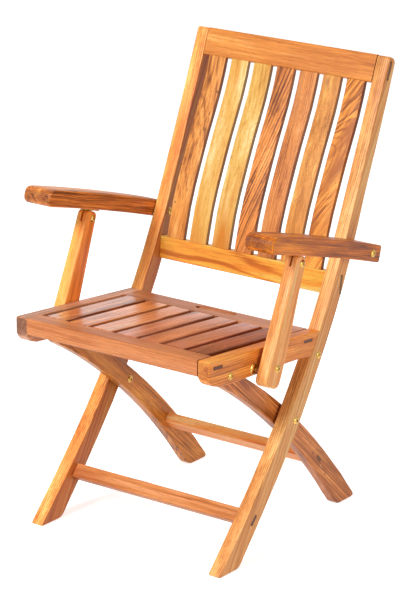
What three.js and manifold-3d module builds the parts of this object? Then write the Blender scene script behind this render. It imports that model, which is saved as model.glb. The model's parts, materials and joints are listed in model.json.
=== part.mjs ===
import * as THREE from 'three';
import { mergeVertices } from 'three/addons/utils/BufferGeometryUtils.js';
import Module from 'manifold-3d';

const wasm = await Module();
wasm.setup();

// A folding armchair in oiled teak with brass fittings, open and ready to sit on.
// Frame of the part: millimetres, +Z up. The chair faces -Y, and the origin is on
// the floor under the middle of the chair. Left is the sitter's left, at +X.
// Outline points are written [y, z] or [y, z, corner cut].

// Overall sizes
const seatHeight = 438;
const backHeight = 461;
const postReach = 573.2;
const noseOverhang = 30.9;
const frameWidth = 459.2;

// Running clearances between pieces
const fit = 0.3;
const boltFit = 0.3;
const seatEndGap = 1.2;
const armGap = 0.5;
const restSideGap = 1.5;
const overrun = 5;

// Rounding of the long edges
const arris = 2.2;
const slatArris = 1.6;
const armArris = 4.5;

// Brass bolts and washers
const boltDiameter = 8;
const headDiameter = 16;
const headHeight = 3.4;
const washerDiameter = 22;

const postHeight = seatHeight + backHeight;
const chairDepth = postReach + noseOverhang;
const halfFrame = frameWidth / 2;
const postRearmost = chairDepth / 2;
const postFootY = postRearmost - postReach;
const noseY = -chairDepth / 2;

const colours = {
  gold: new THREE.MeshStandardMaterial({ color: 0xc98f52, roughness: 0.55, metalness: 0 }),
  orange: new THREE.MeshStandardMaterial({ color: 0xb9743c, roughness: 0.55, metalness: 0 }),
  red: new THREE.MeshStandardMaterial({ color: 0xa0603a, roughness: 0.55, metalness: 0 }),
  dark: new THREE.MeshStandardMaterial({ color: 0x7d4a30, roughness: 0.5, metalness: 0 }),
  brass: new THREE.MeshStandardMaterial({ color: 0xc9a04e, roughness: 0.3, metalness: 1 }),
};

const chair = new THREE.Group();

function add(name, geometry, material) {
  const mesh = new THREE.Mesh(geometry, material);
  mesh.name = name;
  chair.add(mesh);
}

// Geometry helpers

// A smooth curve through a table's rows, whose first column rises.
const rows = (table, height, column) => {
  let i = 0;
  while (i < table.length - 2 && height > table[i + 1][0]) i += 1;
  const low = table[i];
  const high = table[i + 1];
  const before = table[Math.max(i - 1, 0)];
  const after = table[Math.min(i + 2, table.length - 1)];
  const span = high[0] - low[0];
  const t = (height - low[0]) / span;
  const slopeLow = (high[column] - before[column]) / (high[0] - before[0]);
  const slopeHigh = (after[column] - low[column]) / (after[0] - low[0]);
  const t2 = t * t;
  const t3 = t2 * t;
  return (2 * t3 - 3 * t2 + 1) * low[column] + (t3 - 2 * t2 + t) * span * slopeLow
    + (3 * t2 - 2 * t3) * high[column] + (t3 - t2) * span * slopeHigh;
};

const steps = (from, to, count) => Array.from(
  { length: count + 1 },
  (_, i) => from + (to - from) * i / count,
);

const point = (y, z) => new THREE.Vector2(y, z);

function shapeOf(points) {
  const shape = new THREE.Shape();
  points.forEach(([y, z, cut], i) => {
    const corner = point(y, z);
    if (!cut) {
      if (i === 0) shape.moveTo(y, z);
      else shape.lineTo(y, z);
      return;
    }
    const before = points[(i + points.length - 1) % points.length];
    const after = points[(i + 1) % points.length];
    const enter = point(before[0], before[1]).sub(corner).setLength(cut).add(corner);
    const leave = point(after[0], after[1]).sub(corner).setLength(cut).add(corner);
    if (i === 0) shape.moveTo(enter.x, enter.y);
    else shape.lineTo(enter.x, enter.y);
    shape.quadraticCurveTo(corner.x, corner.y, leave.x, leave.y);
  });
  return shape;
}

// Local x and y of an extrusion become the part's y and z, and its depth becomes x.
const sideways = new THREE.Matrix4().makeBasis(
  new THREE.Vector3(0, 1, 0),
  new THREE.Vector3(0, 0, 1),
  new THREE.Vector3(1, 0, 0),
);

// A board with the given outline in side view, from x = from to x = to.
function board(points, from, to, edge = 0, bevelSegments = 1) {
  const geometry = new THREE.ExtrudeGeometry(shapeOf(points), {
    depth: to - from - 2 * edge,
    curveSegments: 4,
    bevelEnabled: edge > 0,
    bevelThickness: edge,
    bevelSize: edge,
    bevelOffset: -edge,
    bevelSegments,
  });
  geometry.applyMatrix4(sideways);
  geometry.translate(from + edge, 0, 0);
  return geometry;
}

function solid(geometry) {
  geometry.deleteAttribute('normal');
  geometry.deleteAttribute('uv');
  const merged = mergeVertices(geometry, 1e-4);
  return new wasm.Manifold(new wasm.Mesh({
    numProp: 3,
    vertProperties: merged.attributes.position.array,
    triVerts: merged.index.array,
  }));
}

function geometryOf(shape) {
  const { vertProperties, triVerts } = shape.getMesh();
  const geometry = new THREE.BufferGeometry();
  geometry.setAttribute('position', new THREE.BufferAttribute(vertProperties, 3));
  geometry.setIndex(new THREE.BufferAttribute(triVerts, 1));
  return geometry;
}

// A round bar along x, for bores.
function roundBar(centre, radius, from, to) {
  const bar = new THREE.CylinderGeometry(radius, radius, to - from, 16);
  bar.rotateZ(Math.PI / 2);
  bar.translate((from + to) / 2, centre.x, centre.y);
  return solid(bar);
}

const boreRadius = boltDiameter / 2 + boltFit;
const bore = (centre, from, to) => roundBar(centre, boreRadius, from - overrun, to + overrun);

// Corners of a leaning rectangle: lean is measured from upright, towards the back.
function leaning(centre, lean, height, thickness, cut = 0) {
  const up = point(Math.sin(lean), Math.cos(lean));
  const back = point(Math.cos(lean), -Math.sin(lean));
  const corner = (alongUp, alongBack) => {
    const p = centre.clone().addScaledVector(up, alongUp).addScaledVector(back, alongBack);
    return [p.x, p.y, cut];
  };
  return [
    corner(-height / 2, -thickness / 2),
    corner(height / 2, -thickness / 2),
    corner(height / 2, thickness / 2),
    corner(-height / 2, thickness / 2),
  ];
}

// A rail between two side pieces, with a tenon through each of them.
function tenonedRail(section, tenon, halfSpan, halfReach) {
  const body = solid(board(section, -halfSpan, halfSpan));
  return body.add(solid(board(tenon, -halfReach, halfReach)));
}

const grow = (size) => size + 2 * fit;

// Pieces come in pairs: the left one at +x and its mirror image at -x.
function addPair(name, shape, material) {
  add(`${name}_left`, geometryOf(shape), material);
  add(`${name}_right`, geometryOf(shape.mirror([1, 0, 0])), material);
}

// Posts: front legs and back uprights in one curved piece.
// Each row gives a level, which is 0 on the floor, 1 at the seat's height and 2 at the
// top, and the front and rear edge there as shares of the reach.
const postThickness = 28;
const postShares = [
  [0, 0, 0.1142],
  [0.2442, 0.177, 0.2783],
  [0.4864, 0.3371, 0.4279],
  [0.7307, 0.4718, 0.5526],
  [0.9729, 0.591, 0.6638],
  [1.2063, 0.6892, 0.7545],
  [1.4735, 0.785, 0.8403],
  [1.7397, 0.8767, 0.9316],
  [2, 0.963, 1.0123],
];
const postCurveShares = [0.03, 0.965];
const postFootCut = 10;
const postToeRadius = 3.85;
const postTopCut = 12;
const postInner = halfFrame - postThickness;
const postRows = postShares.map(([level, front, rear]) => [
  seatHeight * Math.min(level, 1) + backHeight * Math.max(level - 1, 0),
  postReach * front,
  postReach * rear,
]);
const postFront = (z) => postFootY + rows(postRows, z, 1);
const postRear = (z) => postFootY + rows(postRows, z, 2);

const postLean = (z) => {
  const reach = postHeight / 100;
  return Math.atan2(postFront(z + reach) - postFront(z - reach), 2 * reach);
};

const onPost = (z, acrossShare) => point(
  postFront(z) + (postRear(z) - postFront(z)) * acrossShare,
  z,
);

const legPivotLevelShare = 0.556;
const legPivotAcrossShare = 0.63;
const armPivotLift = 107.96;
const armPivotAcrossShare = 0.49;
const legPivot = onPost(seatHeight * legPivotLevelShare, legPivotAcrossShare);
const armPivot = onPost(seatHeight + armPivotLift, armPivotAcrossShare);

function postOutline() {
  const topFront = point(postFront(postHeight), postHeight);
  const lean = topRailLean;
  const topDepth = (postRear(postHeight) - postFront(postHeight)) * Math.cos(lean);
  const across = point(Math.cos(lean), -Math.sin(lean)).multiplyScalar(topDepth);
  const topRear = topFront.clone().add(across);
  const [first, last] = postCurveShares;
  const heights = steps(postHeight * first, postHeight * last, 15);
  const toeAngle = Math.atan2(heights[0], postFront(heights[0]) - postFootY);
  return [
    [postFootY, 0, postToeRadius / Math.tan(toeAngle / 2)],
    ...heights.map((z) => [postFront(z), z]),
    [topFront.x, topFront.y, postTopCut / 2],
    [topRear.x, topRear.y, postTopCut],
    ...heights.reverse().map((z) => [postRear(z), z]),
    [postRear(0), 0, postFootCut],
  ];
}

// Back: two rails with the slats between them
const topRailHeight = 55;
const topRailThickness = 23;
const topTenonHeight = 38;
const topTenonThickness = 8;
const lowRailHeight = 45;
const lowRailThickness = 20;
const lowTenonHeight = 38;
const lowTenonThickness = 8;
const lowRailLift = 40.27;
const lowRailInsetShare = 0.46;
const lowRailLean = 8 * Math.PI / 180;
const topRailDrop = 25;

const topRailZ = postHeight - topRailDrop;
const topRailLean = postLean(topRailZ);
const topRailCentre = point(
  postFront(topRailZ) + topRailThickness / 2 * Math.cos(topRailLean),
  topRailZ - topRailThickness / 2 * Math.sin(topRailLean),
);
const lowRailZ = seatHeight + lowRailLift;
const lowRailCentre = point(
  postFront(lowRailZ) + (postRear(lowRailZ) - postFront(lowRailZ)) * lowRailInsetShare
    + lowRailThickness / 2,
  lowRailZ,
);

const backSlatCount = 7;
const backSlatWidth = 41.2;
const backSlatThickness = 11;
const backEndGap = 15;
const tongueLength = 10;
const tongueThickness = 6;
const backSlatPitch = (2 * (postInner - backEndGap) - backSlatWidth) / (backSlatCount - 1);

// Where a slat's front face meets the rails, and its bulge forwards on the way up.
const frontFace = (centre, lean, thickness, along) => centre.clone()
  .addScaledVector(point(Math.sin(lean), Math.cos(lean)), along)
  .addScaledVector(point(-Math.cos(lean), Math.sin(lean)), thickness / 2);
const slatFoot = frontFace(lowRailCentre, lowRailLean, lowRailThickness, lowRailHeight / 2 + fit);
const slatHead = frontFace(topRailCentre, topRailLean, topRailThickness, -topRailHeight / 2 - fit);
const slatRunOnShare = 0.03;
const railRoomShare = 3;
const slatBulgeShares = [
  [0, 0],
  [0.1, -0.013],
  [0.22, -0.025],
  [0.4, -0.022],
  [0.6, -0.012],
  [0.76, 0.002],
  [0.88, 0.007],
  [1, 0],
];

function slatFace(t, behind) {
  const run = slatHead.clone().sub(slatFoot);
  const length = run.length();
  const along = run.clone().normalize();
  const back = point(along.y, -along.x);
  return slatFoot.clone().addScaledVector(run, t)
    .addScaledVector(back, rows(slatBulgeShares, t, 1) * length + behind);
}

// The outline runs a little into both rails, whose room is then cut from it.
function backSlatOutline() {
  const shares = steps(-slatRunOnShare, 1 + slatRunOnShare, 10);
  const front = shares.map((t) => slatFace(t, 0));
  const rear = shares.reverse().map((t) => slatFace(t, backSlatThickness));
  return [...front, ...rear].map((p) => [p.x, p.y]);
}

// A tongue runs on from a slat's end into its rail.
function tongueOutline(end, lean, clearance) {
  const thickness = tongueThickness + 2 * clearance;
  const length = 2 * (tongueLength + clearance);
  const middle = end.clone().addScaledVector(
    point(Math.cos(lean), -Math.sin(lean)),
    backSlatThickness / 2,
  );
  return leaning(middle, lean, length, thickness);
}

const tongues = [
  [slatFoot, lowRailLean],
  [slatHead, topRailLean],
];

const slatPlaces = (count, pitch) => steps(-(count - 1) / 2 * pitch, (count - 1) / 2 * pitch, count - 1);

function slatMortises(end, lean) {
  const half = backSlatWidth / 2 - slatArris + fit;
  return slatPlaces(backSlatCount, backSlatPitch)
    .map((x) => solid(board(tongueOutline(end, lean, fit), x - half, x + half)));
}

// Front stretcher, let through the posts low down
const stretcherLevelShare = 0.2264;
const stretcherHeight = 29;
const stretcherThickness = 18;
const stretcherInset = 15;
const stretcherTenonHeight = 23;
const stretcherTenonThickness = 8;
const stretcherZ = seatHeight * stretcherLevelShare;
const stretcherLean = postLean(stretcherZ);
const stretcherCentre = point(
  postFront(stretcherZ) + (stretcherInset + stretcherThickness / 2) * Math.cos(stretcherLean),
  stretcherZ - (stretcherInset + stretcherThickness / 2) * Math.sin(stretcherLean),
);

const backTenons = [
  leaning(topRailCentre, topRailLean, grow(topTenonHeight), grow(topTenonThickness)),
  leaning(lowRailCentre, lowRailLean, grow(lowTenonHeight), grow(lowTenonThickness)),
  leaning(
    stretcherCentre,
    stretcherLean,
    grow(stretcherTenonHeight),
    grow(stretcherTenonThickness),
  ),
];

function makeBackFrame() {
  let post = solid(board(postOutline(), postInner, halfFrame, arris));
  backTenons.forEach((tenon) => {
    post = post.subtract(solid(board(tenon, postInner - overrun, halfFrame + overrun)));
  });
  [legPivot, restPin, armPivot].forEach((pivot) => {
    post = post.subtract(bore(pivot, postInner, halfFrame));
  });
  addPair('post', post, colours.gold);

  let topRail = tenonedRail(
    leaning(topRailCentre, topRailLean, topRailHeight, topRailThickness, arris * 2),
    leaning(topRailCentre, topRailLean, topTenonHeight, topTenonThickness),
    postInner - fit,
    halfFrame,
  );
  let lowRail = tenonedRail(
    leaning(lowRailCentre, lowRailLean, lowRailHeight, lowRailThickness, arris),
    leaning(lowRailCentre, lowRailLean, lowTenonHeight, lowTenonThickness),
    postInner - fit,
    halfFrame,
  );
  slatMortises(slatHead, topRailLean).forEach((mortise) => {
    topRail = topRail.subtract(mortise);
  });
  slatMortises(slatFoot, lowRailLean).forEach((mortise) => {
    lowRail = lowRail.subtract(mortise);
  });
  add('back_top_rail', geometryOf(topRail), colours.orange);
  add('back_bottom_rail', geometryOf(lowRail), colours.orange);

  const stretcher = tenonedRail(
    leaning(stretcherCentre, stretcherLean, stretcherHeight, stretcherThickness, arris),
    leaning(stretcherCentre, stretcherLean, stretcherTenonHeight, stretcherTenonThickness),
    postInner - fit,
    halfFrame,
  );
  add('front_stretcher', geometryOf(stretcher), colours.orange);

  const halfWidth = backSlatWidth / 2;
  let slat = solid(board(backSlatOutline(), -halfWidth, halfWidth, slatArris));
  const railRoom = [
    leaning(topRailCentre, topRailLean, grow(topRailHeight), railRoomShare * topRailThickness),
    leaning(lowRailCentre, lowRailLean, grow(lowRailHeight), railRoomShare * lowRailThickness),
  ];
  railRoom.forEach((room) => {
    slat = slat.subtract(solid(board(room, -halfWidth - overrun, halfWidth + overrun)));
  });
  tongues.forEach(([end, lean]) => {
    const tongue = board(tongueOutline(end, lean, 0), slatArris - halfWidth, halfWidth - slatArris);
    slat = slat.add(solid(tongue));
  });
  slatPlaces(backSlatCount, backSlatPitch).forEach((x, i) => {
    const geometry = geometryOf(slat.translate([x, 0, 0]));
    add(`back_slat_${i + 1}`, geometry, i % 2 ? colours.gold : colours.orange);
  });
}

// Seat: side rails that end against the posts, cross rails and slats
const seatSlope = 5.42 * Math.PI / 180;
const sideRailThickness = 27;
const sideRailDepth = 54;
const frontRailWidth = 46;
const frontRailDepth = 33;
const rearRailWidth = 55.8;
const rearRailInset = 2.5;
const rearRailDepth = 26;
const seatTenonWidth = 28;
const seatTenonDepth = 6;
const seatTenonDrop = 14;
const frontTenonRun = 28;
const rearTenonInset = 34.8;
const seatSlatCount = 7;
const seatSlatWidth = 45;
const seatSlatThickness = 15;
const seatTongueThickness = 6;
const handHoldLength = 94;
const handHoldWidth = 22;
const handHoldEdge = 8.8;
const handHoldCutShare = 4;
const reliefWidth = 34;
const reliefDepth = 13;
const sideRailInner = halfFrame - sideRailThickness;
const seatSlatPitch = (2 * sideRailInner + seatSlatWidth) / (seatSlatCount + 1);

const seatPoint = (run, depth, cut = 0) => [
  noseY + run,
  seatHeight - run * Math.tan(seatSlope) - depth,
  cut,
];

// Where a line at the given depth under the seat's top meets the posts.
function seatEnd(depth) {
  let run = postFront(seatHeight) - noseY;
  for (let i = 0; i < 20; i += 1) {
    run = postFront(seatPoint(run, depth)[1]) - seatEndGap - noseY;
  }
  return run;
}

const seatRun = seatEnd(0);
const rearRailEnd = seatRun - rearRailInset;
const rearRailRun = rearRailEnd - rearRailWidth;
const rearTenonRun = rearRailEnd - rearTenonInset;

// The side rail's underside, as shares of its length and depth, from nose to tail.
const undersideShares = [
  [0, 0.62],
  [0.0155, 0.78],
  [0.041, 0.9],
  [0.092, 0.985],
  [0.2, 0.99],
  [0.45, 0.93],
  [0.68, 0.87],
  [0.82, 0.845],
];
const tailDepthShare = 0.89;
const noseCut = 5;
const tailCut = 4;

function sideRailOutline() {
  const tail = seatEnd(sideRailDepth * tailDepthShare);
  const underside = undersideShares.map(
    ([run, depth]) => seatPoint(seatRun * run, sideRailDepth * depth),
  );
  const middle = seatEnd(sideRailDepth * tailDepthShare / 2);
  return [
    seatPoint(0, 0, noseCut),
    ...underside,
    seatPoint(tail, sideRailDepth * tailDepthShare, tailCut),
    seatPoint(middle, sideRailDepth * tailDepthShare / 2),
    seatPoint(seatRun, 0),
  ];
}

function seatBox(run, width, drop, depth, cut = 0) {
  return [
    seatPoint(run, drop, cut),
    seatPoint(run + width, drop, cut),
    seatPoint(run + width, drop + depth, cut),
    seatPoint(run, drop + depth, cut),
  ];
}

const seatTenonBox = (run, clearance) => seatBox(
  run - seatTenonWidth / 2 - clearance,
  seatTenonWidth + 2 * clearance,
  seatTenonDrop - seatTenonDepth / 2 - clearance,
  seatTenonDepth + 2 * clearance,
);

// A bolt's place in the side rail
const onSeat = (run, depthShare) => point(...seatPoint(run, sideRailDepth * depthShare));
const supportFootRunShare = 0.4779;
const supportFootDepthShare = 0.668;
const supportFoot = onSeat(seatRun * supportFootRunShare, supportFootDepthShare);

const seatTongue = (run, clearance) => seatBox(
  run - tongueLength - clearance,
  2 * (tongueLength + clearance),
  (seatSlatThickness - seatTongueThickness) / 2 - clearance,
  seatTongueThickness + 2 * clearance,
);

function makeSeat() {
  let sideRail = solid(board(sideRailOutline(), sideRailInner, halfFrame, arris));
  [frontTenonRun, rearTenonRun].forEach((run) => {
    const mortise = board(seatTenonBox(run, fit), sideRailInner - overrun, halfFrame + overrun);
    sideRail = sideRail.subtract(solid(mortise));
  });
  [seatPivot, supportFoot].forEach((pivot) => {
    sideRail = sideRail.subtract(bore(pivot, sideRailInner, halfFrame));
  });
  addPair('seat_side_rail', sideRail, colours.red);

  const halfSpan = sideRailInner - fit;
  let frontRail = tenonedRail(
    seatBox(0, frontRailWidth, 0, frontRailDepth, arris * 2),
    seatTenonBox(frontTenonRun, 0),
    halfSpan,
    halfFrame,
  );
  let rearRail = tenonedRail(
    seatBox(rearRailRun, rearRailWidth, 0, rearRailDepth, arris),
    seatTenonBox(rearTenonRun, 0),
    halfSpan,
    halfFrame,
  );

  // The rear rail's ends pass the posts, so they are cut back in line with the side rails.
  const beside = [
    seatPoint(seatEnd(-overrun), -overrun),
    seatPoint(seatEnd(rearRailDepth + overrun), rearRailDepth + overrun),
    seatPoint(seatRun + rearRailWidth, rearRailDepth + overrun),
    seatPoint(seatRun + rearRailWidth, -overrun),
  ];
  [-1, 1].forEach((side) => {
    const outer = side * (halfSpan + overrun);
    const inner = side * (postInner - restSideGap);
    const cut = board(beside, Math.min(inner, outer), Math.max(inner, outer));
    rearRail = rearRail.subtract(solid(cut));
  });

  const halfTongue = seatSlatWidth / 2 - slatArris;
  const places = slatPlaces(seatSlatCount, seatSlatPitch);
  places.forEach((x) => {
    const from = x - halfTongue - fit;
    const to = x + halfTongue + fit;
    frontRail = frontRail.subtract(solid(board(seatTongue(frontRailWidth + fit, fit), from, to)));
    rearRail = rearRail.subtract(solid(board(seatTongue(rearRailRun - fit, fit), from, to)));
  });

  // The front rail is thinned from below over the leg tops, which fold against it.
  const relief = [
    seatPoint(arris, frontRailDepth + overrun),
    seatPoint(arris, frontRailDepth),
    seatPoint(frontRailWidth + overrun, frontRailDepth - reliefDepth),
    seatPoint(frontRailWidth + overrun, frontRailDepth + overrun),
  ];
  [-1, 1].forEach((side) => {
    const outer = side * (halfSpan + overrun);
    const inner = side * (sideRailInner - reliefWidth);
    const cut = board(relief, Math.min(inner, outer), Math.max(inner, outer));
    frontRail = frontRail.subtract(solid(cut));
  });
  add('seat_front_rail', geometryOf(frontRail), colours.red);

  // The hand-hold is a long hole with round ends, cut straight down.
  const hold = new THREE.Shape();
  const holdHalf = (handHoldLength - handHoldWidth) / 2;
  hold.absarc(-holdHalf, 0, handHoldWidth / 2, Math.PI / 2, Math.PI * 1.5);
  hold.absarc(holdHalf, 0, handHoldWidth / 2, -Math.PI / 2, Math.PI / 2);
  const holdDepth = rearRailDepth * handHoldCutShare;
  const holdCut = new THREE.ExtrudeGeometry(hold, {
    depth: holdDepth,
    curveSegments: 8,
    bevelEnabled: false,
  });
  const [holdY, holdTop] = seatPoint(rearRailEnd - handHoldEdge - handHoldWidth / 2, 0);
  holdCut.translate(0, holdY, holdTop - holdDepth / 2);
  rearRail = rearRail.subtract(solid(holdCut));
  add('seat_rear_rail', geometryOf(rearRail), colours.orange);

  const halfWidth = seatSlatWidth / 2;
  const slatRun = rearRailRun - frontRailWidth - 2 * fit;
  let slat = solid(board(
    seatBox(frontRailWidth + fit, slatRun, 0, seatSlatThickness),
    -halfWidth,
    halfWidth,
    slatArris,
  ));
  [frontRailWidth + fit, rearRailRun - fit].forEach((run) => {
    slat = slat.add(solid(board(seatTongue(run, 0), -halfTongue, halfTongue)));
  });
  places.forEach((x, i) => {
    const geometry = geometryOf(slat.translate([x, 0, 0]));
    add(`seat_slat_${i + 1}`, geometry, i % 2 ? colours.orange : colours.red);
  });
}

// Rests under the seat's rear rail, which stand on pins in the posts
const restWidth = 14;
const restLength = 16;
const restPinReach = 14;
const restHeight = 22.6;
const restPinAcrossShare = 0.61;

// The pin lies so far below the rear rail, at its share of the post's depth.
function restPinPlace() {
  let pin = onPost(seatHeight, restPinAcrossShare);
  for (let i = 0; i < 20; i += 1) {
    const railUnderside = seatPoint(pin.x - noseY, rearRailDepth)[1];
    pin = onPost(railUnderside - restHeight, restPinAcrossShare);
  }
  return pin;
}

const restPin = restPinPlace();

function makeRests() {
  const outer = postInner - restSideGap;
  const top = seatPoint(restPin.x - noseY, rearRailDepth + fit)[1];
  const foot = restPin.y + boltDiameter / 2 + fit;
  const front = restPin.x - restLength / 2;
  const rear = restPin.x + restLength / 2;
  const drop = restLength / 2 * Math.tan(seatSlope);
  const outline = [
    [front, foot, arris],
    [front, top + drop],
    [rear, top - drop],
    [rear, foot, arris],
  ];
  addPair('seat_rest', solid(board(outline, outer - restWidth, outer)), colours.dark);
}

// Rear legs: curved from the floor through the pivot on the post to the seat
const legThickness = 23.3;
const legGap = 6;
const legDepth = 50;
const legFootInset = 98.8;
const legDepthShares = [
  [0, 1],
  [0.2, 0.93],
  [0.4, 0.86],
  [0.6, 0.83],
  [0.85, 0.75],
  [1, 0.73],
];
const legCurveStart = 0.09;
const legHeelCut = 16;
const legToeCut = 12;
const legTopGap = 2.65;
const seatPivotDepthShare = 0.707;
const legOuter = postInner - legGap;
const legInner = legOuter - legThickness;

// The leg's round top stands behind the seat's front rail.
const legTopRadius = legDepth / 2 * legDepthShares[legDepthShares.length - 1][1];
const seatPivot = onSeat(frontRailWidth + legTopGap + legTopRadius, seatPivotDepthShare);

// A curve from the foot through the leg pivot to the seat pivot.
const legFoot = point(postRearmost - legFootInset, 0);
const lowerRun = legPivot.distanceTo(legFoot);
const legPivotT = lowerRun / (lowerRun + legPivot.distanceTo(seatPivot));
const legBend = legPivot.clone()
  .addScaledVector(legFoot, -((1 - legPivotT) ** 2))
  .addScaledVector(seatPivot, -(legPivotT ** 2))
  .divideScalar(2 * legPivotT * (1 - legPivotT));
const legCurve = new THREE.QuadraticBezierCurve(legFoot, legBend, seatPivot);

function legEdge(t, side) {
  const along = legCurve.getTangent(t);
  const half = legDepth / 2 * rows(legDepthShares, t, 1);
  return legCurve.getPoint(t).addScaledVector(point(along.y, -along.x), side * half);
}

function legOutline() {
  const shares = steps(legCurveStart, 1, 12);
  const upper = shares.map((t) => legEdge(t, 1));
  const lower = shares.map((t) => legEdge(t, -1));
  const toFloor = (edge) => {
    const [first, second] = edge;
    const reach = first.y / (second.y - first.y);
    return first.clone().addScaledVector(second.clone().sub(first), -reach);
  };
  const heel = toFloor(upper);
  const toe = toFloor(lower);
  const tangent = legCurve.getTangent(1);
  const start = Math.atan2(-tangent.x, tangent.y);
  const cap = steps(start, start + Math.PI, 8).slice(1, -1)
    .map((angle) => point(Math.cos(angle), Math.sin(angle)).multiplyScalar(legTopRadius).add(seatPivot));
  return [
    [heel.x, 0, legHeelCut],
    ...upper.map((p) => [p.x, p.y]),
    ...cap.map((p) => [p.x, p.y]),
    ...lower.reverse().map((p) => [p.x, p.y]),
    [toe.x, 0, legToeCut],
  ];
}

const legStretcherShare = 0.257;
const legStretcherHeight = 31;
const legStretcherThickness = 20;
const legTenonHeight = 20;
const legTenonThickness = 8;

function makeLegFrame() {
  const centre = legCurve.getPoint(legStretcherShare);
  const along = legCurve.getTangent(legStretcherShare);
  const lean = Math.atan2(along.x, along.y);
  const mortise = leaning(centre, lean, grow(legTenonHeight), grow(legTenonThickness));
  let leg = solid(board(legOutline(), legInner, legOuter, arris));
  leg = leg.subtract(solid(board(mortise, legInner - overrun, legOuter + overrun)));
  [legPivot, seatPivot].forEach((pivot) => {
    leg = leg.subtract(bore(pivot, legInner, legOuter));
  });
  addPair('rear_leg', leg, colours.dark);

  const stretcher = tenonedRail(
    leaning(centre, lean, legStretcherHeight, legStretcherThickness, arris),
    leaning(centre, lean, legTenonHeight, legTenonThickness),
    legInner - fit,
    legOuter,
  );
  add('rear_stretcher', geometryOf(stretcher), colours.orange);
}

// Armrests: wide boards that slope down to their pivots on the posts
const armSlope = 16.2 * Math.PI / 180;
const armLength = 387;
const armTail = 30;
const armThickness = 34;
const armNoseWidth = 64.5;
const armTailWidth = 56;
const armRise = 3.5;
const armNoseCut = 16.5;
const armTailCut = 11;
const armCornerCut = 5;
const armBevelSegments = 2;
const armPlanDepthShare = 3;
const armInner = halfFrame + armGap;
const armForward = point(-Math.cos(armSlope), Math.sin(armSlope));
const armUp = point(Math.sin(armSlope), Math.cos(armSlope));
const armArch = (run) => {
  const share = (run + armTail) / armLength;
  return armRise * 4 * share * (1 - share);
};
const onArm = (run, height) => armPivot.clone()
  .addScaledVector(armForward, run)
  .addScaledVector(armUp, height);

function armOutline() {
  const nose = armLength - armTail;
  const runs = steps(-armTail, nose, 8).slice(1, -1);
  const edge = (run, side, cut = 0) => {
    const p = onArm(run, armArch(run) + side * armThickness / 2);
    return [p.x, p.y, cut];
  };
  return [
    edge(-armTail, -1, armTailCut),
    edge(-armTail, 1, armTailCut),
    ...runs.map((run) => edge(run, 1)),
    edge(nose, 1, armNoseCut),
    edge(nose, -1, armNoseCut),
    ...runs.reverse().map((run) => edge(run, -1)),
  ];
}

// The armrest seen from above: straight inside, wider towards the nose.
function armPlan() {
  const nose = armLength - armTail;
  const plan = shapeOf([
    [-armTail, armInner, armCornerCut],
    [nose, armInner, armCornerCut],
    [nose, armInner + armNoseWidth, armCornerCut],
    [-armTail, armInner + armTailWidth, armCornerCut],
  ]);
  const depth = armThickness * armPlanDepthShare;
  const geometry = new THREE.ExtrudeGeometry(plan, { depth, curveSegments: 4, bevelEnabled: false });
  geometry.translate(0, 0, -depth / 2);
  const forward = new THREE.Vector3(0, armForward.x, armForward.y);
  const up = new THREE.Vector3(0, armUp.x, armUp.y);
  const out = new THREE.Vector3(1, 0, 0);
  geometry.applyMatrix4(new THREE.Matrix4().makeBasis(forward, out, up));
  geometry.translate(0, armPivot.x, armPivot.y);
  return geometry;
}

// Arm supports: from a brass tongue under the armrest down to the seat rail
const supportThickness = 27;
const supportGap = 6.6;
const supportRun = 202.5;
const tongueDrop = 18.5;
const supportShares = [
  [-0.07, 0.095, -0.058],
  [0.1, 0.097, -0.061],
  [0.3, 0.1, -0.072],
  [0.6, 0.112, -0.09],
  [0.8, 0.12, -0.1],
  [1, 0.13, -0.1],
  [1.19, 0.14, -0.095],
];
const supportCurveShares = [0.03, 1.05];
const supportArris = 3;
const supportHeadCut = 10;
const supportBaseCut = 15;
const supportInner = halfFrame + supportGap;
const supportOuter = supportInner + supportThickness;
const supportMiddle = (supportInner + supportOuter) / 2;
const supportHead = onArm(supportRun, armArch(supportRun) - armThickness / 2 - tongueDrop);

function supportOutline() {
  const run = supportFoot.clone().sub(supportHead);
  const length = run.length();
  const along = run.clone().normalize();
  const front = point(along.y, -along.x);
  const edge = (share, column, cut = 0) => {
    const offset = rows(supportShares, share, column) * length;
    const p = supportHead.clone().addScaledVector(run, share).addScaledVector(front, offset);
    return [p.x, p.y, cut];
  };
  const head = supportShares[0][0];
  const base = supportShares[supportShares.length - 1][0];
  const shares = steps(...supportCurveShares, 7);
  return [
    edge(head, 1, supportHeadCut),
    ...shares.map((share) => edge(share, 1)),
    edge(base, 1, supportBaseCut),
    edge(base, 2, supportBaseCut),
    ...shares.reverse().map((share) => edge(share, 2)),
    edge(head, 2, supportHeadCut),
  ];
}

// Brass bracket: a plate under the armrest with a tongue down to the support's bolt
const plateThickness = 2.5;
const plateLength = 38;
const plateWidth = 22;
const tongueWidth = 16;
const tonguePlate = 3.2;
const tongueCutShare = 0.33;
const slotWidth = 4.4;
const slotReach = 10;
const slotLengthShare = 2;

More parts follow.
